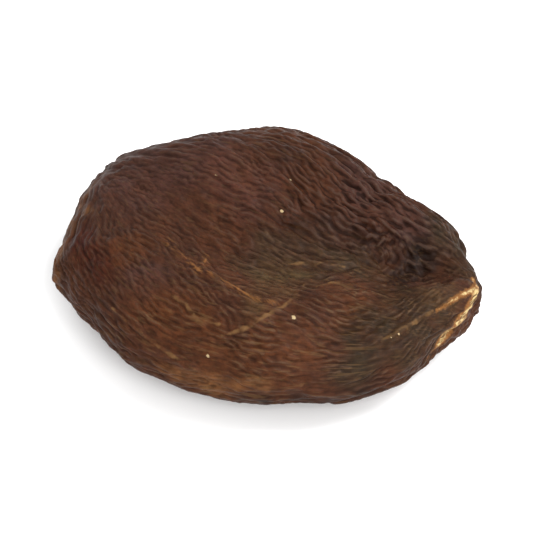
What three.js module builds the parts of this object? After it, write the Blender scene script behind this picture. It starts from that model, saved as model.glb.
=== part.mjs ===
// One dried apricot, whole and stoned: a flattened, puckered oval of flesh in its own skin, in one piece.
// Millimetres, +Z up. +X points towards the stem end, and the fruit lies on Z = 0 on three low spots.
import * as THREE from "three";
import { ImprovedNoise } from "three/addons/math/ImprovedNoise.js";
import { mergeVertices } from "three/addons/utils/BufferGeometryUtils.js";

// Driving dimensions.
const length = 41; // across the outline along X, from the blossom end to the stem end
const rimHeight = 5.6; // the rim's widest line above the surface that the fruit lies on
const topRise = 6.4; // the puffed upper side above that line, before its hollows
const bottomDrop = 6.4; // the underside below that line, before it is pressed flat
const meshDetail = 23; // splits of each icosahedron edge: 20 * 24 * 24 = 11,520 triangles
const sameVertex = 1e-5; // corners of the unit sphere nearer than this are one vertex

// The outline seen from above: its radius every 15 degrees, counter-clockwise from +X. The right end is
// drawn out to the stem, the upper left and the front are full, and the upper right is pulled in.
const outlineRadii = [
  18.7, 17.9, 15.5, 14.8, 15.8, 17.3, 17.6, 16.7, 17.3, 19.6, 20.3, 19.9,
  20.4, 19.6, 18.2, 17.9, 17.2, 16.2, 16.8, 17.1, 17.8, 18.6, 18.7, 20.6,
];
const outlineLength = 40.8; // what those radii give across X
// Where creases cross the rim they notch the outline: the middle and half width in degrees, and the depth.
// A negative depth is the bump beside a notch.
const rimNotches = [
  { at: 27.5, half: 4, depth: 0.45 },
  { at: 41, half: 4, depth: 0.45 },
  { at: 136, half: 3, depth: -0.15 },
  { at: 163, half: 3, depth: 0.2 },
  { at: 175.5, half: 3.2, depth: 0.35 },
  { at: 184.5, half: 2.5, depth: -0.25 },
  { at: 190.5, half: 3, depth: 0.3 },
  { at: 203, half: 2.6, depth: 0.3 },
  { at: 339, half: 4, depth: 0.3 },
];

// The side view of the plump form, as a superellipse: how round it is across and up. 1 is an ellipse.
const roundness = { out: 0.74, up: 0.95 };
const dentFade = 0.75; // the share of the rise, up from the rim, over which the hollows come in

// The fruit's own axis in plan, from the blossom end to the stem end. The skin shrank into wrinkles along it.
const stemEnd = new THREE.Vector2(20.6, -4.8);
const blossomEnd = new THREE.Vector2(-14, 12.5);
const polePast = 1.5; // the wrinkles' lines meet this far beyond each end
const polarShare = 0.97; // past this share of the way to a pole, they draw no closer
// Where the wrinkles swing round from that axis, on the upper side: how far each swing reaches, and its turn.
const swings = [
  { x: 1, y: 5.5, reach: 9, turn: -20 }, // the creases that fall from the back into the hollow
  { x: 13.3, y: -3, reach: 5, turn: 50 }, // where they bend round, past the hollow's deep end
  { x: 13.6, y: -10.5, reach: 5, turn: 22 }, // the gathering below the stem end
  { x: 5.5, y: -4, reach: 3, turn: 30 },
  { x: -7, y: -6, reach: 4, turn: -15 },
];

// Where the stone was squeezed out the flesh sank in. Each dent is an oval bell shape in plan: its middle,
// the turn of its long axis, its half length and half width, and its depth. A negative depth is a swelling.
const topDents = [
  { x: 3.5, y: -1.8, turn: -8, long: 13, short: 6.2, depth: 2.7 }, // the stone's hollow
  { x: 14.0, y: -2.2, turn: -10, long: 4.6, short: 2.5, depth: 2.2 }, // its deep end, behind the stem
  { x: 5.6, y: 0.4, turn: -16, long: 8.5, short: 1.2, depth: 0.5 }, // the fold at the foot of its back wall
  { x: 9.8, y: 4.6, turn: 56, long: 3.4, short: 0.9, depth: 0.5 }, // the groove from there to the rim's notch
  { x: 8.6, y: -11.2, turn: 18, long: 4.2, short: 1.9, depth: 0.6 }, // a dimple inside the front rim
  { x: -2.8, y: -14, turn: -20, long: 2.2, short: 1.1, depth: 0.35 },
  { x: -0.6, y: -11.6, turn: 54, long: 3.8, short: 0.8, depth: -0.35 }, // a crest across its front
  { x: -5.2, y: -7, turn: -40, long: 4.5, short: 0.8, depth: -0.25 }, // the seam, along a low crest
  { x: -9.5, y: 3.5, turn: -38, long: 7, short: 3, depth: 0.5 }, // a soft trough across the left end
  { x: -4, y: 10, turn: -6, long: 11, short: 4.6, depth: -1.0 }, // the full shoulder at the back
  { x: 15.4, y: -7.4, turn: 26, long: 5.5, short: 1.6, depth: -0.9 }, // the lip that runs to the stem end
  { x: -3, y: -10.5, turn: -10, long: 10, short: 3.4, depth: -0.5 }, // the rounded front rim
];
const bottomDents = [
  { x: -1, y: 0.5, turn: -20, long: 12, short: 8, depth: 2.6 }, // the sunken middle of the underside
  { x: 12, y: -2, turn: -12, long: 7, short: 2.6, depth: 1.4 }, // its run out to the stem end
  { x: -12, y: -9, turn: 35, long: 4, short: 2.4, depth: 0.9 }, // a tuck under the lower left edge
];
// The three low spots that it lies on, round its weight.
const feet = [
  { x: -7.5, y: 8.5, turn: 10, long: 5, short: 3.8, depth: 1.3 },
  { x: -6, y: -9.5, turn: -12, long: 5, short: 3.6, depth: 1.3 },
  { x: 11, y: -5.5, turn: 60, long: 5, short: 3.8, depth: 1.6 },
];

// The stem's scar, a shallow torn cup in the tip, and the slit left by the stone, which runs on from it.
const scar = { at: new THREE.Vector3(20.4, -5.6, 5.4), reach: 1.7, depth: 1.1 };
const slit = {
  line: new THREE.Line3(new THREE.Vector3(20.2, -6.4, 5.6), new THREE.Vector3(15.6, -11.4, 4.8)),
  halfWidth: 0.9,
  depth: 0.8,
};

// Wrinkles. The skin is stiffer than the flesh that shrank under it, so it buckled into ridges of one width.
const wrinkles = {
  width: 2.3, // from crest to crest
  height: 0.17, // of a full crest above the smooth form, and of a full crease below it
  flatness: 0.3, // how much broader the crests are than the creases
  growth: 0.7, // how readily the skin buckles
  alignment: 0.5, // how firmly the ridges keep to their way
  wander: { angle: 0.5, cell: 7 }, // how far, in radians, that way strays, and over what distance
  faint: { height: 0.4, cell: 0.53 }, // the unevenness that the ridges grow from
  steps: 260,
  stepSize: 0.25,
};
// How strongly the skin is wrinkled at the blossom end, how much more towards the stem, and how patchily.
const strength = { least: 0.65, stemward: 0.5, from: -14, to: 10, patch: 0.35, patchCell: 8 };
const calm = { x: 9.5, y: -11, reach: 6, share: 0.65 }; // the plump front lobe, where they are shallow
const lumps = { cell: 8, height: 0.8 }; // slow unevenness of the whole form

const perlin = new ImprovedNoise();
const degrees = Math.PI / 180;
const smooth = THREE.MathUtils.smoothstep;

// Smooth noise from -1 to 1 over patches of one size. Each use has its own shift, so that no two are alike.
function noise(p, cell, shift) {
  return perlin.noise(p.x / cell, p.y / cell + shift, p.z / cell);
}

// The outline's radius in a direction in plan, by a closed Catmull-Rom curve through its radii.
function outlineRadius(azimuth) {
  const n = outlineRadii.length;
  const t = (((azimuth / (2 * Math.PI)) * n) % n + n) % n;
  const i = Math.floor(t);
  const f = t - i;
  const [a, b, c, d] = [-1, 0, 1, 2].map((k) => outlineRadii[(i + k + n) % n]);
  let r = b + 0.5 * f * (c - a + f * (2 * a - 5 * b + 4 * c - d + f * (3 * (b - c) + d - a)));
  for (const notch of rimNotches) {
    const away = THREE.MathUtils.euclideanModulo(azimuth / degrees - notch.at + 180, 360) - 180;
    r -= notch.depth * Math.exp(-((away / notch.half) ** 2));
  }
  return (r * length) / outlineLength;
}

// The side view, from the middle of the top round the rim to the middle of the underside: its share of the
// way out and of the way up. Each point keeps the share of the skin above it, for triangles of even size.
const profile = (() => {
  const steps = 600;
  const meanRadius = 0.47 * length;
  const points = [];
  let area = 0;
  for (let i = 0; i <= steps; i++) {
    const angle = Math.PI * (0.5 - i / steps);
    const out = Math.max(0, Math.cos(angle)) ** roundness.out;
    const up = Math.sign(Math.sin(angle)) * Math.abs(Math.sin(angle)) ** roundness.up;
    if (i > 0) {
      const last = points[i - 1];
      const run = Math.hypot((out - last.out) * meanRadius, (up - last.up) * topRise);
      area += run * (out + last.out);
    }
    points.push({ out, up, area });
  }
  return points.map((p) => ({ ...p, area: p.area / area }));
})();

function profileAt(share) {
  let low = 0;
  let high = profile.length - 1;
  while (high - low > 1) {
    const between = (low + high) >> 1;
    if (profile[between].area < share) low = between;
    else high = between;
  }
  const [a, b] = [profile[low], profile[high]];
  const f = THREE.MathUtils.clamp((share - a.area) / (b.area - a.area), 0, 1);
  return { out: a.out + (b.out - a.out) * f, up: a.up + (b.up - a.up) * f };
}

function dentDepth(dents, x, y) {
  let depth = 0;
  for (const d of dents) {
    const [c, s] = [Math.cos(d.turn * degrees), Math.sin(d.turn * degrees)];
    const u = ((x - d.x) * c + (y - d.y) * s) / d.long;
    const v = ((y - d.y) * c - (x - d.x) * s) / d.short;
    depth += d.depth * Math.exp(-(u * u + v * v));
  }
  return depth;
}

// A point of the smooth form for a direction on the unit sphere.
function formPoint(direction) {
  const azimuth = Math.atan2(direction.y, direction.x);
  const { out, up } = profileAt((1 - direction.z) / 2);
  const r = outlineRadius(azimuth) * out;
  const [x, y] = [r * Math.cos(azimuth), r * Math.sin(azimuth)];
  const onTop = smooth(up, 0, dentFade);
  const below = smooth(-up, 0, dentFade);
  const z = rimHeight + up * (up > 0 ? topRise : bottomDrop) - onTop * dentDepth(topDents, x, y)
    + below * (dentDepth(bottomDents, x, y) - dentDepth(feet, x, y));
  return new THREE.Vector3(x, y, z);
}

// What belongs to the upper side alone comes in over this distance below and above the rim.
const rimBlend = 2;
function shareOnTop(aboveRim) {
  return smooth(aboveRim, -rimBlend, rimBlend);
}

// The way that the skin's wrinkles run at a point: along the lines that join the blossom end to the stem end,
// as meridians join a globe's poles, but for the swings and a slow stray.
const middle = stemEnd.clone().add(blossomEnd).multiplyScalar(0.5);
const axis = stemEnd.clone().sub(blossomEnd);
const halfAxis = axis.length() / 2 + polePast;
axis.normalize();
function wrinkleWay(p) {
  const [px, py, pz] = [p.x - middle.x, p.y - middle.y, p.z - rimHeight];
  const along = px * axis.x + py * axis.y;
  const across = py * axis.x - px * axis.y;
  const share = THREE.MathUtils.clamp(along / halfAxis, -polarShare, polarShare);
  const closing = -share / (1 - share * share) / halfAxis;
  let turn = Math.atan(closing * across + wrinkles.wander.angle * noise(p, wrinkles.wander.cell, 9));
  for (const s of swings) {
    const away = Math.hypot(p.x - s.x, p.y - s.y) / s.reach;
    turn += s.turn * degrees * Math.exp(-away * away) * shareOnTop(pz);
  }
  const [u, v] = [Math.cos(turn), Math.sin(turn)];
  return new THREE.Vector3(u * axis.x - v * axis.y, u * axis.y + v * axis.x, u * closing * pz).normalize();
}

// Each vertex's neighbours on the mesh.
function neighboursOf(geometry) {
  const sets = Array.from({ length: geometry.getAttribute("position").count }, () => new Set());
  const corners = geometry.index.array;
  for (let i = 0; i < corners.length; i += 3)
    for (let k = 0; k < 3; k++) {
      const [from, to] = [corners[i + k], corners[i + ((k + 1) % 3)]];
      sets[from].add(to);
      sets[to].add(from);
    }
  return sets;
}

// Grows the pattern of ridges over the mesh from a faint unevenness: bending picks one width (the
// Swift-Hohenberg rule), and change along the wrinkles' way is damped. Each vertex gets a value from about
// -1, a crease, to 1, a crest.
function growWrinkles(geometry) {
  const position = geometry.getAttribute("position");
  const points = [];
  for (let i = 0; i < position.count; i++) points.push(new THREE.Vector3().fromBufferAttribute(position, i));
  const links = neighboursOf(geometry);
  const unit = (wrinkles.width / (2 * Math.PI)) ** 2;
  const edges = points.map((p, i) => {
    const way = wrinkleWay(p);
    return [...links[i]].map((j) => {
      const step = points[j].clone().sub(p);
      const all = (4 * unit) / (links[i].size * step.lengthSq());
      const alongWay = step.normalize().dot(way) ** 2;
      return { j, all, along: 2 * all * (alongWay - 0.25) };
    });
  });
  const bendOf = (u, kind) =>
    edges.map((list, i) => list.reduce((sum, e) => sum + e[kind] * (u[e.j] - u[i]), 0));
  const { growth, alignment, faint, steps, stepSize } = wrinkles;
  let u = points.map((p) => faint.height * noise(p, faint.cell, 11));
  for (let step = 0; step < steps; step++) {
    const bend = bendOf(u, "all");
    const first = u.map((value, i) => value + bend[i]);
    const second = bendOf(first, "all");
    const along = bendOf(u, "along");
    u = u.map((value, i) => {
      const change = growth * value - first[i] - second[i] + alignment * along[i] - value ** 3;
      return value + stepSize * change;
    });
  }
  return u;
}

function wrinkleHeight(p, ridge) {
  const stemward = strength.stemward * smooth(p.x, strength.from, strength.to);
  const patches = strength.patch * noise(p, strength.patchCell, 3);
  const away = Math.hypot(p.x - calm.x, p.y - calm.y) / calm.reach;
  const calmed = calm.share * Math.exp(-away * away) * shareOnTop(p.z - rimHeight);
  const height = wrinkles.height * (strength.least + stemward + patches) * (1 - calmed);
  return height * (ridge - wrinkles.flatness * ridge ** 2);
}

function scarDepth(p) {
  const away = p.distanceTo(scar.at) / scar.reach;
  return scar.depth * Math.exp(-away * away);
}

const nearest = new THREE.Vector3();
function slitDepth(p) {
  const away = p.distanceTo(slit.line.closestPointToPoint(p, true, nearest)) / slit.halfWidth;
  return slit.depth * Math.exp(-away * away);
}

function makeApricot() {
  const sphere = new THREE.IcosahedronGeometry(1, meshDetail);
  sphere.deleteAttribute("normal");
  sphere.deleteAttribute("uv");
  const geometry = mergeVertices(sphere, sameVertex);
  const position = geometry.getAttribute("position");
  const p = new THREE.Vector3();
  for (let i = 0; i < position.count; i++) {
    const onForm = formPoint(p.fromBufferAttribute(position, i).normalize());
    position.setXYZ(i, onForm.x, onForm.y, onForm.z);
  }
  geometry.computeVertexNormals();
  const normal = geometry.getAttribute("normal");
  const ridges = growWrinkles(geometry);
  const out = new THREE.Vector3();
  for (let i = 0; i < position.count; i++) {
    p.fromBufferAttribute(position, i);
    out.fromBufferAttribute(normal, i);
    const unevenness = lumps.height * noise(p, lumps.cell, 5);
    const relief = wrinkleHeight(p, ridges[i]) + unevenness - slitDepth(p) - scarDepth(p);
    p.addScaledVector(out, relief);
    position.setXYZ(i, p.x, p.y, Math.max(p.z, 0)); // its own weight presses the low spots flat
  }
  // The origin is under the middle of the fruit.
  geometry.computeBoundingBox();
  const { min, max } = geometry.boundingBox;
  geometry.translate(-(min.x + max.x) / 2, -(min.y + max.y) / 2, 0);
  geometry.computeVertexNormals();
  return geometry;
}

const skin = new THREE.MeshStandardMaterial({ color: 0x5a3527, roughness: 0.55, metalness: 0 });
const apricot = new THREE.Mesh(makeApricot(), skin);
apricot.name = "dried_apricot";

const part = new THREE.Group();
part.add(apricot);
export default part;
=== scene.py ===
import math

import bmesh
import bpy
import numpy as np
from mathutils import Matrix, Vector, noise


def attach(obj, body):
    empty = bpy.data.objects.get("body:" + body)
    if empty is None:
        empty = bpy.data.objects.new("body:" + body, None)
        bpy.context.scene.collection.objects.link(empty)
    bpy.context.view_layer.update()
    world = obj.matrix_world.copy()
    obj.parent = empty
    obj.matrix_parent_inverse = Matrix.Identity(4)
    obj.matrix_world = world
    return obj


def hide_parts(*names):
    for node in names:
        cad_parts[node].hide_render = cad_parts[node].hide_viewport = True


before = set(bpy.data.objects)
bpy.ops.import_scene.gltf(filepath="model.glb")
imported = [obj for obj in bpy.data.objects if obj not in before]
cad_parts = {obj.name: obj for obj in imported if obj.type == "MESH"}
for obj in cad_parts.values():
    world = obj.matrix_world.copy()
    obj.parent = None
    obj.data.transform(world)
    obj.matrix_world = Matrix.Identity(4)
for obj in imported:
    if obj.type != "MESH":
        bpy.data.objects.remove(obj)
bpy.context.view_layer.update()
print("frame loaded")

mm = 0.001
scene = bpy.context.scene

# The camera looks down on the fruit as the photograph does. The frame's width is measured at the fruit.
view = {
    "azimuth": 0,
    "elevation": 45,
    "distance": 450 * mm,
    "frameWidth": 51 * mm,
    "aim": (-0.1 * mm, -0.55 * mm, 5.6 * mm),
    "sensorWidth": 36,
    "nearest": 10 * mm,
    "farthest": 10,
}


def placeCamera():
    azimuth, elevation = math.radians(view["azimuth"]), math.radians(view["elevation"])
    back = Vector((
        math.sin(azimuth) * math.cos(elevation),
        -math.cos(azimuth) * math.cos(elevation),
        math.sin(elevation),
    ))
    data = bpy.data.cameras.new("camera")
    data.sensor_width = view["sensorWidth"]
    data.lens = view["sensorWidth"] * view["distance"] / view["frameWidth"]
    data.clip_start, data.clip_end = view["nearest"], view["farthest"]
    camera = bpy.data.objects.new("camera", data)
    camera.location = Vector(view["aim"]) + back * view["distance"]
    camera.rotation_euler = (-back).to_track_quat("-Z", "Y").to_euler()
    scene.collection.objects.link(camera)
    scene.camera = camera


placeCamera()

# The lie of the wrinkles, in millimetres: they run from the blossom end to the stem end, as meridians join
# two poles, and swing round in a few places on top. Each swing has its middle in plan, its reach and its
# turn in degrees.
lie = {
    "stemEnd": (20.4, -5.3),
    "blossomEnd": (-14.1, 12.0),
    "polePast": 1.5,  # how far past the ends the poles lie
    "nearestPole": 0.97,  # the share of the way to a pole at which the wrinkles stop closing in
    "middleHeight": 5.6,
    "swings": [
        (0.9, 5, 9, -20), (13.2, -3.5, 5, 50), (13.5, -11, 5, 32), (5.4, -4.5, 3, 30), (-7.1, -6.5, 4, -15),
    ],
    "swingsFade": (-2, 2),  # the heights over the middle between which the swings set in
    "stray": 0.6,
    "strayCell": 4.5,
    "straySeed": 9,
}


def smoothStep(x, low, high):
    t = np.clip((x - low) / (high - low), 0, 1)
    return t * t * (3 - 2 * t)


def lumpyNoise(points, cell, seed):  # smooth noise at each point, from about -1 to 1
    shifted = Vector((seed, seed * 0.7, 0))
    return np.array([noise.noise(Vector(p) / cell + shifted) for p in points.tolist()], np.float32)


def alongAndAcross(points):  # a place along the fruit's axis, from -1 to 1, and the offsets from it
    stem, blossom = np.array(lie["stemEnd"]), np.array(lie["blossomEnd"])
    half = np.linalg.norm(stem - blossom) / 2
    axis = (stem - blossom) / (2 * half)
    half += lie["polePast"]
    plan = points[:, :2] - (stem + blossom) / 2
    share = np.clip(plan @ axis / half, -lie["nearestPole"], lie["nearestPole"])
    across = plan @ np.array([-axis[1], axis[0]])
    return share, across, points[:, 2] - lie["middleHeight"], axis, half


def wrinkleWay(points):
    share, across, up, axis, half = alongAndAcross(points)
    closing = -share / (1 - share ** 2) / half
    stray = lie["stray"] * lumpyNoise(points, lie["strayCell"], lie["straySeed"])
    turn = np.arctan(closing * across + stray)
    onTop = smoothStep(up, *lie["swingsFade"])
    for x, y, reach, degrees in lie["swings"]:
        away = np.hypot(points[:, 0] - x, points[:, 1] - y) / reach
        turn += math.radians(degrees) * np.exp(-away ** 2) * onTop
    u, v = np.cos(turn), np.sin(turn)
    way = np.stack([u * axis[0] - v * axis[1], u * axis[1] + v * axis[0], u * closing * up], axis=1)
    return way / np.linalg.norm(way, axis=1, keepdims=True)


# The fine skin: how often the solid's edges are halved, and how its facets are smoothed away.
skinMesh = {
    "name": "wrinkledSkin",
    "joinWithin": 1e-4 * mm,
    "halvings": 2,
    "smoothings": 8,
    "inward": 0.5,
    "outward": -0.52,
}


def splitFinely(solid):
    bm = bmesh.new()
    bm.from_mesh(solid.data)
    bmesh.ops.remove_doubles(bm, verts=bm.verts, dist=skinMesh["joinWithin"])
    for _ in range(skinMesh["halvings"]):
        bmesh.ops.subdivide_edges(bm, edges=bm.edges, cuts=1, use_grid_fill=True)
    mesh = bpy.data.meshes.new(skinMesh["name"])
    bm.to_mesh(mesh)
    bm.free()
    return mesh


def neighbourTable(mesh):  # a row of neighbours for each point, filled up with the point itself
    pairs = np.empty(len(mesh.edges) * 2, np.int32)
    mesh.edges.foreach_get("vertices", pairs)
    pairs = pairs.reshape(-1, 2)
    ends = np.concatenate([pairs, pairs[:, ::-1]])
    ends = ends[np.argsort(ends[:, 0], kind="stable")]
    count = np.bincount(ends[:, 0])
    start = np.cumsum(count) - count
    table = np.repeat(np.arange(len(count))[:, None], count.max(), axis=1)
    table[ends[:, 0], np.arange(len(ends)) - start[ends[:, 0]]] = ends[:, 1]
    return table, count


def pointsOf(mesh):  # in millimetres
    points = np.empty(len(mesh.vertices) * 3, np.float32)
    mesh.vertices.foreach_get("co", points)
    return points.reshape(-1, 3) / mm


def setPoints(mesh, points):
    mesh.vertices.foreach_set("co", (points * mm).astype(np.float32).ravel())
    mesh.update()


def normalsOf(mesh):
    normals = np.empty(len(mesh.vertices) * 3, np.float32)
    mesh.vertices.foreach_get("normal", normals)
    return normals.reshape(-1, 3)


def smoothFacets(points, table, count):
    for _ in range(skinMesh["smoothings"]):
        for share in (skinMesh["inward"], skinMesh["outward"]):
            pull = (points[table] - points[:, None]).sum(1) / count[:, None]
            points = points + share * pull
    return points


# Two sets of wrinkles grow on the fine skin. Width is from crest to crest, in millimetres, and changes by a
# share from place to place. Height is what a ridge of 1 stands out, in millimetres, before its crest is
# blunted. Growth is how readily the skin buckles, and alignment how firmly ridges keep to their way. Strength
# is how strongly the wrinkles stand: a share for the whole skin, and more or less in some zones and patches.
folds = {
    "seed": 4,
    "width": 1.45,
    "widthChange": 0.3,
    "widthCell": 4,
    "height": 0.17,
    "blunting": 0.35,
    "growth": 0.8,
    "alignment": 0.7,
    "steps": 850,
    "stepSize": 0.006,
    "strength": {"all": 0.4, "creased": 0.75, "shoulder": -0.15},
    "patchShare": 0.4,
    "patchCell": 4,
    "patchSeed": 3,
    "weakest": 0.05,
    "strongest": 1.4,
}
crinkles = {
    "seed": 9,
    "width": 0.75,
    "widthChange": 0.3,
    "widthCell": 2.5,
    "height": 0.065,
    "growth": 0.8,
    "alignment": 0.7,
    "steps": 80,
    "stepSize": 0.08,
    "strength": {"all": 0.8, "shoulder": -0.1, "creased": 0.25},
    "patchShare": 0.75,
    "patchCell": 2.2,
    "patchSeed": 8,
    "weakest": 0.1,
    "strongest": 1.5,
}
firstRidges = 0.3  # how high the random ridges are that the growth starts from
shortestEdge = 0.18  # millimetres; shorter ones count as this long, which keeps the growth steady


# The rises from a point to its neighbours, weighed by bend, add up to the ridges' curvature. Weighed by
# stretch, they add up to the curvature along the wrinkles' way.
def growWrinkles(points, table, count, way, rule):
    width = rule["width"] * (1 + rule["widthChange"] * lumpyNoise(points, rule["widthCell"], rule["seed"]))
    unit = (width[:, None] / (2 * math.pi)) ** 2
    step = points[table] - points[:, None]
    length = np.linalg.norm(step, axis=2)
    real = length > 0
    bend = np.where(real, 4 * unit / (count[:, None] * np.maximum(length, shortestEdge) ** 2), 0)
    heading = (step * way[:, None]).sum(2) / np.where(real, length, 1)
    stretch = (2 * bend * (heading ** 2 - 0.25)).astype(np.float32)
    bend = bend.astype(np.float32)
    draw = np.random.RandomState(rule["seed"])
    ridge = (firstRidges * draw.standard_normal(len(points))).astype(np.float32)
    for _ in range(rule["steps"]):
        rise = ridge[table] - ridge[:, None]
        first = ridge + np.einsum("ij,ij->i", bend, rise)
        second = np.einsum("ij,ij->i", bend, first[table] - first[:, None])
        along = np.einsum("ij,ij->i", stretch, rise)
        change = rule["growth"] * ridge - first - second + rule["alignment"] * along - ridge ** 3
        ridge = ridge + rule["stepSize"] * change
    return ridge


# Places on the skin that look different from the rest: the middle and the reach of each, in millimetres.
zones = {
    "creased": ((9.5, 3.5, 9.5), (9, 5.5, 5)),
    "shoulder": ((-8, 7, 10), (10, 7.5, 5)),
    "basin": ((8, -7.5, 9), (11, 5.5, 4.5)),
    "front": ((-3, -14, 7), (13, 6, 5)),
    "stemEnd": ((16.5, -8.5, 7.5), (6, 5, 4)),
}

# Soft tints of the skin, and painted sheen, glow and shade: a colour, how much of it shows at most, and the
# middle and the reach of each spot.
tints = {
    # Painted sheen: a mauve-grey reflection on the shoulder and the creased top, with like spots below.
    "mauveSheen": {
        "colour": (0.0375, 0.0160, 0.0126),
        "most": 0.85,
        "spots": [(-12.6, 6.8, 10.6, 5), (-7, 10, 11, 5), (9, 6.2, 10.2, 3), (13.5, 0.8, 9, 3),
                  (-11.5, -7, 10.5, 2.5), (0, 15, 6, 4), (6, -10, 1, 4), (-12, 2, 2, 4)],
    },
    "rose": {
        "colour": (0.0490, 0.0172, 0.0115),
        "most": 0.7,
        "spots": [(-2.4, 3.4, 11, 2.4), (-4.9, 6, 11.9, 2.2), (0, 5.4, 11.5, 2)],
    },
    "maroon": {
        "colour": (0.0230, 0.0022, 0.0006),
        "most": 0.9,
        "spots": [(-16.6, -4, 9.6, 2.4), (-18, -0.2, 9.2, 2.2)],
    },
    # Dark umber skin in patches, and painted shade along the step atop the basin and under the low front
    # edge.
    "umberAndShade": {
        "colour": (0.0160, 0.0055, 0.0029),
        "most": 0.8,
        "spots": [(1.5, 8.4, 11.9, 2.4), (3, -0.3, 9.4, 2), (5.4, -0.2, 9.1, 2.4), (8.1, -0.8, 8.6, 2.4),
                  (12.8, -1.5, 7.1, 2.3), (-2.7, -15.7, 8.9, 1.2), (-3, -16.9, 3.2, 1.5),
                  (0, -16.8, 3.4, 1.8), (4, -16.7, 3.6, 2), (8, -15.6, 3.6, 2.2), (0, 1, 2, 4),
                  (-15, 9, 3, 3), (9, 9, 3, 3)],
    },
    "olive": {
        "colour": (0.0260, 0.0158, 0.0078),
        "most": 0.8,
        "spots": [(4, -1.8, 9.2, 2.2), (0.8, -1.8, 9.4, 2.4), (6.3, -3.4, 8.9, 2.6), (-0.8, -4.6, 9.8, 2.2),
                  (3, -4.2, 9, 2), (9.5, -4.4, 8.4, 2.2), (12, 1, 2.5, 4), (-6, -5, 2, 3),
                  (-16, 3, 5, 2.5)],
    },
    "darkOlive": {
        "colour": (0.0125, 0.0056, 0.0006),
        "most": 0.9,
        "spots": [(8.4, -12.4, 9.5, 2.1), (11, -11.2, 9.2, 2.2), (12.9, -9, 9.1, 2),
                  (12.8, -6.6, 8.6, 1.8)],
    },
    "grey": {
        "colour": (0.0195, 0.0122, 0.0060),
        "most": 0.9,
        "spots": [(8.7, -15.6, 7.5, 2.6), (11.9, -13.8, 7.9, 2.6), (15.2, -11.1, 7, 3.4),
                  (18.4, 0.7, 7.4, 3), (17.1, 3.1, 8.2, 2.5), (19.2, -3, 7.4, 2)],
    },
    # Painted light: orange glow through the thin flesh near the rims, over the flesh's own orange-brown.
    "paintedGlow": {
        "colour": (0.0590, 0.0176, 0.0042),
        "most": 0.5,
        "spots": [(-13.7, -3.7, 10.4, 2.2), (-11.2, -9, 10.4, 2.2), (-5.9, -14, 9.4, 2.8),
                  (-0.8, -15.5, 9.2, 2.8), (2.4, -16.1, 8.3, 2.6), (-3.2, -16.5, 7, 3),
                  (-8.8, -11.6, 10, 2.2), (4, -14.8, 9.4, 2.2), (8, -8.5, 10.2, 2.1),
                  (5.9, -9.1, 10.8, 1.8), (6.4, -11.2, 10.5, 1.6), (-4, 14, 3, 3.5), (5, 5, 2, 3.5),
                  (-13, -8, 3, 3)],
    },
    "ochre": {
        "colour": (0.0640, 0.0410, 0.0165),
        "most": 0.45,
        "spots": [(0.8, -6.8, 10, 2.8), (16, -7.3, 9, 2), (-1.1, -11.4, 11.3, 1.8), (3.4, -6, 9.6, 2),
                  (-8, 8, 0.5, 3), (14, -6, 1.5, 3), (13, 7, 6, 2.5)],
    },
    # Painted shade: the dark of the pit, and a thin shadow line under the low front edge.
    "hollowShade": {
        "colour": (0.0085, 0.0048, 0.0036),
        "most": 0.9,
        "spots": [(14.1, -2.7, 6.7, 1.7), (14.9, -1.9, 6.8, 1.6), (13.1, -4.4, 7.4, 1.6),
                  (-3, -16.5, 4, 0.9), (-0.5, -17.1, 4.4, 1), (2.7, -17, 4.3, 1.1), (5.9, -17, 4.5, 1.1),
                  (8.7, -16.3, 4.5, 1.1)],
    },
    # Painted light: a bright amber glow where light shines through the thin edges of the rim.
    "amberGlow": {
        "colour": (0.1000, 0.0400, 0.0130),
        "most": 0.85,
        "spots": [(-20.2, -2.4, 6.6, 1.1), (-19.9, -0.8, 7.6, 1.1), (-19.1, 1.6, 8.3, 1.1),
                  (-17.9, 4, 8.8, 1), (-9.4, -15.2, 5.9, 1.5), (-7.4, -15.7, 5.8, 1.6),
                  (-5.4, -16.2, 5.8, 1.6), (-3.3, -16.7, 5.8, 1.5), (-1, -17.1, 6.1, 1.1),
                  (-13, 13, 5.4, 2), (12, 9.4, 5.5, 1.6)],
    },
}
tintWander = {"cell": 3.2, "reach": 1.6, "seeds": (31, 47, 63)}  # how the edges of the tints stray
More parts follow.
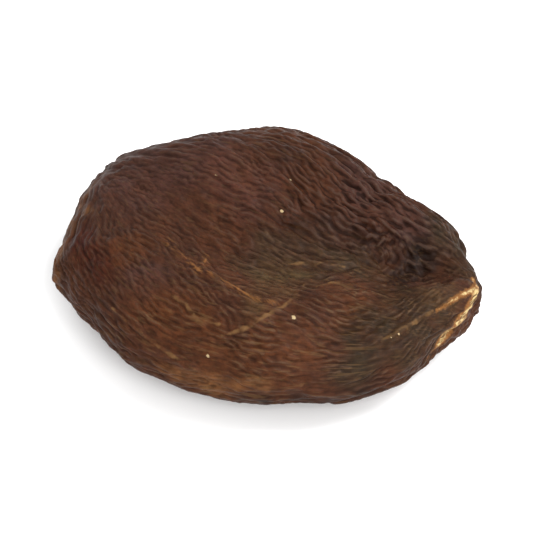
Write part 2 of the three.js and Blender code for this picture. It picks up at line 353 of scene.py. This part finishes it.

# Marks on the skin, in millimetres, with a half width at each point. The scar is where the stalk came off
# and the stone was pressed out: pale torn fibres round the tip and down the rim, with a fork above. Threads
# are fine crests of paler flesh, and the rim glow is a soft amber band of painted light, light shining
# through the thin edge. Across is the way over the fibres. Crumbs have a middle and a radius, and a few
# more lie loose in places drawn at random.
marks = {
    "scars": [
        [(19.5, -3.9, 7.2, 0.15), (19.7, -5.6, 7.3, 0.5), (19.3, -6.8, 6.6, 0.65), (18.6, -7.8, 6.2, 0.6),
         (17.6, -8.8, 5.9, 0.5), (16.5, -9.9, 5.4, 0.34), (15.1, -11.3, 4.3, 0.1)],
        [(19.5, -5.6, 7.6, 0.25), (18.7, -6.5, 8.0, 0.17), (17.9, -7.3, 8.2, 0.12),
         (16.0, -8.9, 8.1, 0.02)],
    ],
    "seams": [
        [(-9.6, -1.9, 10.4, 0.01), (-7.7, -4.6, 10.7, 0.04), (-6.5, -6.6, 11.1, 0.13),
         (-4.3, -7.8, 11.2, 0.05), (-2.8, -9.1, 11.1, 0.16), (-1.5, -10.3, 11.3, 0.06),
         (0.8, -11.1, 11.3, 0.01)],
        [(-6.5, -6.6, 11.1, 0.1), (-6.0, -5.3, 10.8, 0.12), (-5.6, -3.5, 10.1, 0.03)],
    ],
    "threads": [
        [(-4.5, -13.9, 9.8, 0.05), (-2.5, -13.8, 10.4, 0.14), (-0.4, -12.9, 11.3, 0.16),
         (1.0, -11.7, 11.1, 0.14), (2.2, -10.5, 11.1, 0.14), (3.4, -7.5, 10.1, 0.05)],
        [(-8.9, -9.5, 10.7, 0.05), (-7.6, -10.7, 10.7, 0.14), (-6.5, -12.3, 10.2, 0.14),
         (-4.5, -12.9, 10.3, 0.05)],
        [(4.5, -8.1, 10.4, 0.05), (5.9, -7.4, 10.2, 0.12), (7.2, -7.4, 10.0, 0.12), (8.8, -7.2, 9.6, 0.05)],
        [(15.5, -9.2, 8.3, 0.1), (14.2, -10.2, 8.2, 0.12), (12.9, -11.5, 8.4, 0.16),
         (10.6, -13.4, 8.6, 0.05)],
        [(1.4, -3.7, 9.1, 0.05), (3.4, -3.6, 9.1, 0.14), (5.3, -3.6, 9.0, 0.12), (7.3, -3.7, 8.7, 0.03)],
        [(-14.6, -9.1, 8.6, 0.03), (-11.9, -12.0, 8.3, 0.1), (-9.4, -14.1, 7.8, 0.12),
         (-6.8, -15.5, 7.1, 0.05)],
    ],
    # The rim glow: painted light, an amber band where light shines through the thin edge.
    "rims": [
        [(-19.9, -3, 5.1, 0.1), (-20.3, -2.5, 6, 0.3), (-20.1, -1.8, 7.3, 0.3), (-19.4, 1.2, 7.5, 0.2),
         (-18.4, 4.6, 7.6, 0.2), (-17.8, 6.6, 7.9, 0.3), (-17, 7.5, 8.5, 0.1)],
    ],
    "across": {"scars": (0.763, -0.646, 0), "seams": (0.707, 0.707, 0)},
    "crumbs": [
        (1.4, 2.1, 10.4, 0.22), (2.2, 5.5, 11.3, 0.12), (-4.9, 5.5, 11.9, 0.14), (2.4, -12.5, 10.8, 0.22),
        (-5.6, -15.2, 8.4, 0.22), (11.5, -12.9, 8.6, 0.12), (12.2, -12.4, 8.5, 0.13),
    ],
    "looseCrumbs": 7,
    "looseBelow": 4,
    "looseRadius": (0.08, 0.16),
    "crumbSeed": 5,
}

# How far the marks stand from the skin, in millimetres, and the distances from their lines between which
# they rise. A crumb's are shares of its radius.
markRises = {
    "scars": {"height": 0.1, "outer": 0.3, "inner": -0.3},
    "seams": {"height": 0.1, "outer": 0.4, "inner": -0.1},
    "threads": {"height": 0.08, "outer": 0.4, "inner": -0.05},
    "crumbs": {"height": 0.1, "outer": 1.4, "inner": 0.6},
}
tornLumps = {"cell": 0.45, "seed": 2}  # the torn flesh of the scar is lumpy
farAway = 99  # millimetres, further than any line


def distanceToLines(points, lines):  # to the nearest line's edge, and the place along that line
    best = np.full(len(points), farAway, np.float32)
    place = np.zeros(len(points), np.float32)
    for line in lines:
        start = 0
        for a, b in zip(line, line[1:]):
            a, b, widthA, widthB = np.array(a[:3]), np.array(b[:3]), a[3], b[3]
            length = np.linalg.norm(b - a)
            t = np.clip((points - a) @ (b - a) / length ** 2, 0, 1)
            away = np.linalg.norm(points - a - t[:, None] * (b - a), axis=1) - widthA - t * (widthB - widthA)
            place = np.where(away < best, start + t * length, place)
            best = np.minimum(best, away)
            start += length
    return best, place


def distanceToCrumbs(points):  # to the nearest crumb's middle, as a share of its radius
    draw = np.random.RandomState(marks["crumbSeed"])
    low = points[points[:, 2] < marks["looseBelow"]]
    chosen = draw.randint(len(low), size=marks["looseCrumbs"])
    loose = [(*low[i], draw.uniform(*marks["looseRadius"])) for i in chosen]
    best = np.full(len(points), farAway, np.float32)
    for x, y, z, radius in marks["crumbs"] + loose:
        best = np.minimum(best, np.linalg.norm(points - np.array([x, y, z]), axis=1) / radius)
    return best


def zoneShares(points):  # how far each point lies in each zone, from 0 to 1
    return {
        name: np.exp(-(((points - np.array(middle)) / np.array(reach)) ** 2).sum(1))
        for name, (middle, reach) in zones.items()
    }


def tintShares(points):  # how much of each tint shows at each point, from 0 to about 1
    cell = tintWander["cell"]
    stray = np.stack([lumpyNoise(points, cell, seed) for seed in tintWander["seeds"]], axis=1)
    points = points + tintWander["reach"] * stray
    shares = {}
    for name, tint in tints.items():
        left = np.ones(len(points), np.float32)
        for x, y, z, reach in tint["spots"]:
            left *= 1 - np.exp(-(((points - np.array([x, y, z])) / reach) ** 2).sum(1))
        shares[name] = 1 - left
    return shares


def keep(mesh, name, values):
    kind = "FLOAT_VECTOR" if values.ndim == 2 else "FLOAT"
    layer = mesh.attributes.new(name, kind, "POINT")
    layer.data.foreach_set("vector" if values.ndim == 2 else "value", values.astype(np.float32).ravel())


def byZone(shares, valuesOf):  # a share for all of the skin, and more or less in some zones
    total = shares["all"]
    for name, share in shares.items():
        if name != "all":
            total = total + share * valuesOf(name)
    return total


def strengthOf(points, zone, rule):  # how strongly one set of wrinkles stands at each point
    patches = lumpyNoise(points, rule["patchCell"], rule["patchSeed"])
    strength = byZone(rule["strength"], zone.get) + rule["patchShare"] * patches
    return np.clip(strength, rule["weakest"], rule["strongest"])


def riseOf(name, away):  # how far a mark stands from the skin at each point
    mark = markRises[name]
    return mark["height"] * smoothStep(-away[name], -mark["outer"], -mark["inner"])


def makeSkin():
    mesh = splitFinely(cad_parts["dried_apricot"])
    table, count = neighbourTable(mesh)
    smooth = smoothFacets(pointsOf(mesh), table, count)
    setPoints(mesh, smooth)
    print("fine skin:", len(mesh.polygons), "faces")
    way = wrinkleWay(smooth)
    ridge = growWrinkles(smooth, table, count, way, folds)
    crinkle = growWrinkles(smooth, table, count, way, crinkles)
    print("wrinkles grown")

    zone = zoneShares(smooth)
    foldStrength = strengthOf(smooth, zone, folds)
    crinkleStrength = strengthOf(smooth, zone, crinkles)
    away, along = {"crumbs": distanceToCrumbs(smooth)}, {}
    for name in ("scars", "seams", "threads", "rims"):
        away[name], along[name] = distanceToLines(smooth, marks[name])
    relief = folds["height"] * foldStrength * (ridge - folds["blunting"] * ridge ** 2)
    relief += crinkles["height"] * crinkleStrength * crinkle
    relief += riseOf("scars", away) * lumpyNoise(smooth, tornLumps["cell"], tornLumps["seed"])
    relief += riseOf("threads", away) + riseOf("seams", away)
    relief += riseOf("crumbs", away)
    points = smooth + relief[:, None] * normalsOf(mesh)
    points[:, 2] = np.maximum(points[:, 2], 0)  # nothing goes below the table
    setPoints(mesh, points)

    share, across, up, _, half = alongAndAcross(smooth)
    squeeze = np.sqrt(1 - share ** 2)
    kept = {
        **zone,
        **tintShares(smooth),
        **{name + "Away": values for name, values in away.items()},
        "ridge": ridge * foldStrength,
        "crinkle": crinkle * crinkleStrength,
        "wayPlace": np.stack([share * half, across / squeeze, up / squeeze], axis=1),
    }
    for name, direction in marks["across"].items():
        kept[name + "Place"] = np.stack([smooth @ np.array(direction), along[name], smooth[:, 2]], axis=1)
    for name, values in kept.items():
        keep(mesh, name, values)
    skin = bpy.data.objects.new(skinMesh["name"], mesh)
    scene.collection.objects.link(skin)
    mesh.shade_smooth()
    return skin


class Wire:  # an output of a node; sums on it add Math nodes
    tree = None  # the material's nodes that are being built

    def __init__(self, socket):
        self.socket = socket

    @staticmethod
    def node(kind, settings=None, inputs=None, output=0):
        made = Wire.tree.nodes.new(kind)
        for name, value in (settings or {}).items():
            setattr(made, name, value)
        for name, value in (inputs or {}).items():
            if isinstance(value, Wire):
                Wire.tree.links.new(value.socket, made.inputs[name])
            else:
                made.inputs[name].default_value = value
        return Wire(made.outputs[output])

    @staticmethod
    def sum(operation, a, b):
        return Wire.node("ShaderNodeMath", {"operation": operation}, {0: a, 1: b})

    def __add__(self, other):
        return Wire.sum("ADD", self, other)

    def __sub__(self, other):
        return Wire.sum("SUBTRACT", self, other)

    def __rsub__(self, other):
        return Wire.sum("SUBTRACT", other, self)

    def __mul__(self, other):
        return Wire.sum("MULTIPLY", self, other)

    __radd__ = __add__
    __rmul__ = __mul__

    def larger(self, other):
        return Wire.sum("MAXIMUM", self, other)

    def ramp(self, low, high, toLow=0.0, toHigh=1.0):  # a soft step from one value to another
        settings = {"interpolation_type": "SMOOTHSTEP"}
        return Wire.node("ShaderNodeMapRange", settings, {0: self, 1: low, 2: high, 3: toLow, 4: toHigh})


def mixColours(share, a, b, how="MIX"):
    settings = {"data_type": "RGBA", "blend_type": how}
    a, b = [c if isinstance(c, Wire) else (*c, 1) for c in (a, b)]
    return Wire.node("ShaderNodeMix", settings, {0: share, 6: a, 7: b}, 2)


def attribute(name, output="Fac"):
    return Wire.node("ShaderNodeAttribute", {"attribute_name": name}, output=output)


def stretched(name, stretch):  # a kept place on the skin, stretched along its own directions
    settings = {"operation": "MULTIPLY"}
    return Wire.node("ShaderNodeVectorMath", settings, {0: attribute(name, "Vector"), 1: stretch})


# The skin's looks. A step is the two values between which a soft step goes from 0 to 1, or else from a
# third value to a fourth.
skinLook = {
    "base": (0.0305, 0.0103, 0.0050),
    "ruddy": (0.0410, 0.0134, 0.0056),
    # Painted shade: the dark colour laid into the creases between wrinkles.
    "crease": (0.0076, 0.0023, 0.0011),
    "crest": (0.1000, 0.0540, 0.0220),
    # A painted sheen: the mauve-grey highlight of the light on the wrinkles' crests.
    "paintedSheen": (0.0480, 0.0265, 0.0200),
    "thread": (0.1444, 0.0760, 0.0289),
    # The rim glow is painted light shining through the thin edge.
    "rim": (0.1500, 0.0580, 0.0160),
    "scarDark": (0.0608, 0.0289, 0.0114),
    "scarPale": (0.4600, 0.3400, 0.1600),
    "seam": (0.2280, 0.0950, 0.0266),
    "crumb": (0.3192, 0.2356, 0.1292),
    # Noise: the size of its patches in millimetres, its detail, and its roughness where it isn't a half.
    "noises": {
        "blotches": {"size": 6, "detail": 3, "step": (0.35, 0.65)},
        "patches": {"size": 2.4, "detail": 3, "step": (0.3, 0.7)},
        "mottle": {"size": 1.1, "detail": 4, "roughness": 0.65, "step": (0.25, 0.75, 0.75, 1.25)},
        "fine": {"size": 0.4, "detail": 3, "roughness": 0.7, "step": (0.3, 0.7, 0.75, 1.25)},
        "streaks": {"size": 0.6, "detail": 3, "roughness": 0.6, "step": (0.4, 0.62)},
        "fineLines": {"size": 0.3, "detail": 2, "step": (0.53, 0.66)},
        "scarFibres": {"size": 0.3, "detail": 4, "roughness": 0.6, "step": (0.36, 0.58)},
        "scarPatches": {"size": 0.9, "detail": 3, "step": (0.32, 0.52, 0.45, 1)},
        "torn": {"size": 0.5, "detail": 4, "roughness": 0.7},
        "broken": {"size": 0.8, "detail": 2},
        "threadPatches": {"size": 1.3, "detail": 2, "step": (0.4, 0.6, 0.1, 0.6)},
        "seamFibres": {"size": 0.2, "detail": 2, "step": (0.45, 0.7)},
        "crumbEdge": {"size": 0.25, "detail": 1},
        "gloss": {"size": 0.9, "detail": 3},
        "grain": {"size": 0.3, "detail": 4, "roughness": 0.6},
        "pores": {"size": 0.16, "detail": 2},
    },
    "streakStretch": (0.12, 1, 1),
    "fineStretch": (0.4, 1, 1),
    "fibreStretch": (1, 0.15, 1),
    "tintStep": (0.05, 0.85),
    # The colours that go with the wrinkles' height, which is made up of the folds' and the crinkles'.
    "foldPart": 0.55,
    "crinklePart": 0.7,
    "heights": {
        "crest": {
            "step": (0.25, 0.75),
            "shares": {"all": 0.15, "basin": 0.5, "stemEnd": 0.2, "front": 0.45},
        },
        # The sheen is a painted highlight on the crests.
        "paintedSheen": {"step": (0.15, 0.7), "shares": {"all": 0.28, "creased": 0.3}},
        # The crease colour is painted shade in the creases.
        "crease": {"step": (-0.05, -0.5), "shares": {"all": 0.42, "creased": 0.4}},
    },
    "fineLineShares": {"all": 0.22, "front": 0.28, "basin": 0.15},
    # The marks' edges: a step over the distance from the mark, and how far noise frays it.
    "edges": {
        "scarHalo": {"mark": "scars", "step": (0.3, -0.05, 0, 0.65), "fray": 0.78},
        "scar": {"mark": "scars", "step": (0, -0.25), "fray": 1.17},
        "thread": {"mark": "threads", "step": (0.16, -0.08), "fray": 0.5},
        "rim": {"mark": "rims", "step": (0.75, -0.5), "fray": 1.6},
        "seamHalo": {"mark": "seams", "step": (0.7, 0, 0, 0.35)},
        "seam": {"mark": "seams", "step": (0.08, -0.1), "fray": 0.5},
        "crumb": {"mark": "crumbs", "step": (1.15, 0.75), "fray": 1.2},
    },
    "seamBreaks": (0.35, 0.65),
    # The least and the most of a colour that is left where patches thin it out.
    "thinned": {
        "tint": (0.45, 1),
        "crest": (0.3, 1),
        "fineLine": (0.25, 1),
        "rim": (0.2, 0.65),
        "seam": (0.35, 1),
    },
    "roughness": 0.48,
    "creaseRoughness": 0.22,
    "scarRoughness": 0.25,
    "glossChange": 0.25,
    "grainPart": 0.5,
    "porePart": 0.5,
    "grainStrength": 0.35,
    "grainDepth": 0.1 * mm,
    "fixed": {
        "IOR": 1.45,
        "Specular IOR Level": 0.07,
        "Subsurface Weight": 0.1,
        "Subsurface Radius": (1.0, 0.35, 0.15),
        "Subsurface Scale": 0.6 * mm,
    },
}


def patchy(name, place):  # noise from 0 to 1, or what its step makes of it
    rule = skinLook["noises"][name]
    roughness = rule.get("roughness", 0.5)
    inputs = {"Vector": place, "Scale": 1 / rule["size"], "Detail": rule["detail"], "Roughness": roughness}
    patches = Wire.node("ShaderNodeTexNoise", {}, inputs)
    return patches.ramp(*rule["step"]) if "step" in rule else patches


def edgeOf(name, fraying=None):  # how much of a mark shows, with a soft edge
    rule = skinLook["edges"][name]
    away = attribute(rule["mark"] + "Away")
    if fraying:
        away = away + (fraying - 0.5) * rule["fray"]
    return away.ramp(*rule["step"])


def thinned(name, patches):  # how much is left of a colour
    least, most = skinLook["thinned"][name]
    return least + (most - least) * patches


def makeSkinMaterial():
    look = skinLook
    material = bpy.data.materials.new("driedSkin")
    material.use_nodes = True
    Wire.tree = material.node_tree
    shader = material.node_tree.nodes["Principled BSDF"]

    place = Wire.node("ShaderNodeTexCoord", output="Object")
    place = Wire.node("ShaderNodeVectorMath", {"operation": "SCALE"}, {0: place, "Scale": 1 / mm})
    streakPlace = stretched("wayPlace", look["streakStretch"])
    finePlace = stretched("wayPlace", look["fineStretch"])
    patches = patchy("patches", place)

    # Colour over the whole fruit.
    colour = mixColours(patchy("blotches", place), look["base"], look["ruddy"])
    uneven = thinned("tint", patches)
    for name, tint in tints.items():
        share = attribute(name).ramp(*look["tintStep"], 0, tint["most"])
        colour = mixColours(share * uneven, colour, tint["colour"])
    mottle = patchy("mottle", place) * patchy("fine", finePlace)
    mottle = Wire.node("ShaderNodeCombineColor", inputs={0: mottle, 1: mottle, 2: mottle})
    colour = mixColours(1.0, colour, mottle, "MULTIPLY")

    # Paler flesh along the crests, most of all in the basin and on the front, a painted sheen on the crests,
    # and painted shade in the creases.
    height = attribute("ridge") * look["foldPart"] + attribute("crinkle") * look["crinklePart"]
    shown = {}
    for name, rule in look["heights"].items():
        shown[name] = height.ramp(*rule["step"]) * byZone(rule["shares"], attribute)
    shown["crest"] = shown["crest"] * thinned("crest", patchy("streaks", place))
    for name, share in shown.items():
        colour = mixColours(share, colour, look[name])
    fineLines = patchy("fineLines", streakPlace) * (1 - attribute("creased")) * thinned("fineLine", patches)
    colour = mixColours(fineLines * byZone(look["fineLineShares"], attribute), colour, look["crest"])

    # The scar, threads, painted rim glow, seam and crumbs. Fibres run along the scar and the seam.
    torn, broken = patchy("torn", place), patchy("broken", place)
    colour = mixColours(edgeOf("scarHalo", torn), colour, look["seam"])
    scarFibres = patchy("scarFibres", stretched("scarsPlace", look["fibreStretch"]))
    scar = edgeOf("scar", torn) * patchy("scarPatches", place)
    colour = mixColours(scar, colour, mixColours(scarFibres, look["scarDark"], look["scarPale"]))
    thread = edgeOf("thread", broken) * patchy("threadPatches", place)
    colour = mixColours(thread, colour, look["thread"])
    # Painted light: the rim glow, an amber band of light through the thin edge.
    colour = mixColours(edgeOf("rim", broken) * thinned("rim", patches), colour, look["rim"])
    seamFibres = patchy("seamFibres", stretched("seamsPlace", look["fibreStretch"]))
    seam = edgeOf("seam", broken) * thinned("seam", broken.ramp(*look["seamBreaks"]))
    colour = mixColours(seam.larger(edgeOf("seamHalo") * seamFibres), colour, look["seam"])
    colour = mixColours(edgeOf("crumb", patchy("crumbEdge", place)), colour, look["crumb"])

    rough = look["roughness"] + look["creaseRoughness"] * shown["crease"] + look["scarRoughness"] * scar
    rough = rough + (patchy("gloss", place) - 0.5) * look["glossChange"]
    grain = patchy("grain", streakPlace) * look["grainPart"] + patchy("pores", place) * look["porePart"]
    inputs = {"Strength": look["grainStrength"], "Distance": look["grainDepth"], "Height": grain}
    bump = Wire.node("ShaderNodeBump", inputs=inputs)

    links = material.node_tree.links
    links.new(colour.socket, shader.inputs["Base Color"])
    links.new(rough.socket, shader.inputs["Roughness"])
    links.new(bump.socket, shader.inputs["Normal"])
    for name, value in look["fixed"].items():
        shader.inputs[name].default_value = value
    return material


skin = makeSkin()
skin.data.materials.append(makeSkinMaterial())
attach(skin, "root")
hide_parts("dried_apricot")
print("skin finished")

# A white table under soft white light. The key light is above on the right, one in front fills the shadow.
stage = {"floorSize": 1.5, "floor": (0.95, 0.95, 0.95), "floorRoughness": 0.6, "world": 1.15}
softboxes = {
    "key": {"place": (0.36, 0.06, 0.52), "size": 0.3, "watts": 3.6},
    "front": {"place": (0.12, -0.5, 0.42), "size": 0.35, "watts": 3.2},
}


def makeStage():
    bpy.ops.mesh.primitive_plane_add(size=stage["floorSize"])
    floor = bpy.context.object
    floor.name = "floor"
    material = bpy.data.materials.new("whiteTable")
    material.use_nodes = True
    shader = material.node_tree.nodes["Principled BSDF"]
    shader.inputs["Base Color"].default_value = (*stage["floor"], 1)
    shader.inputs["Roughness"].default_value = stage["floorRoughness"]
    floor.data.materials.append(material)

    world = bpy.data.worlds.new("softLight")
    world.use_nodes = True
    world.node_tree.nodes["Background"].inputs["Color"].default_value = (1, 1, 1, 1)
    world.node_tree.nodes["Background"].inputs["Strength"].default_value = stage["world"]
    scene.world = world

    for name, softbox in softboxes.items():
        data = bpy.data.lights.new(name, "AREA")
        data.energy, data.size = softbox["watts"], softbox["size"]
        light = bpy.data.objects.new(name, data)
        light.location = softbox["place"]
        light.rotation_euler = (-Vector(softbox["place"])).to_track_quat("-Z", "Y").to_euler()
        scene.collection.objects.link(light)
    scene.view_settings.view_transform = "Standard"


makeStage()
print("table and lights placed")
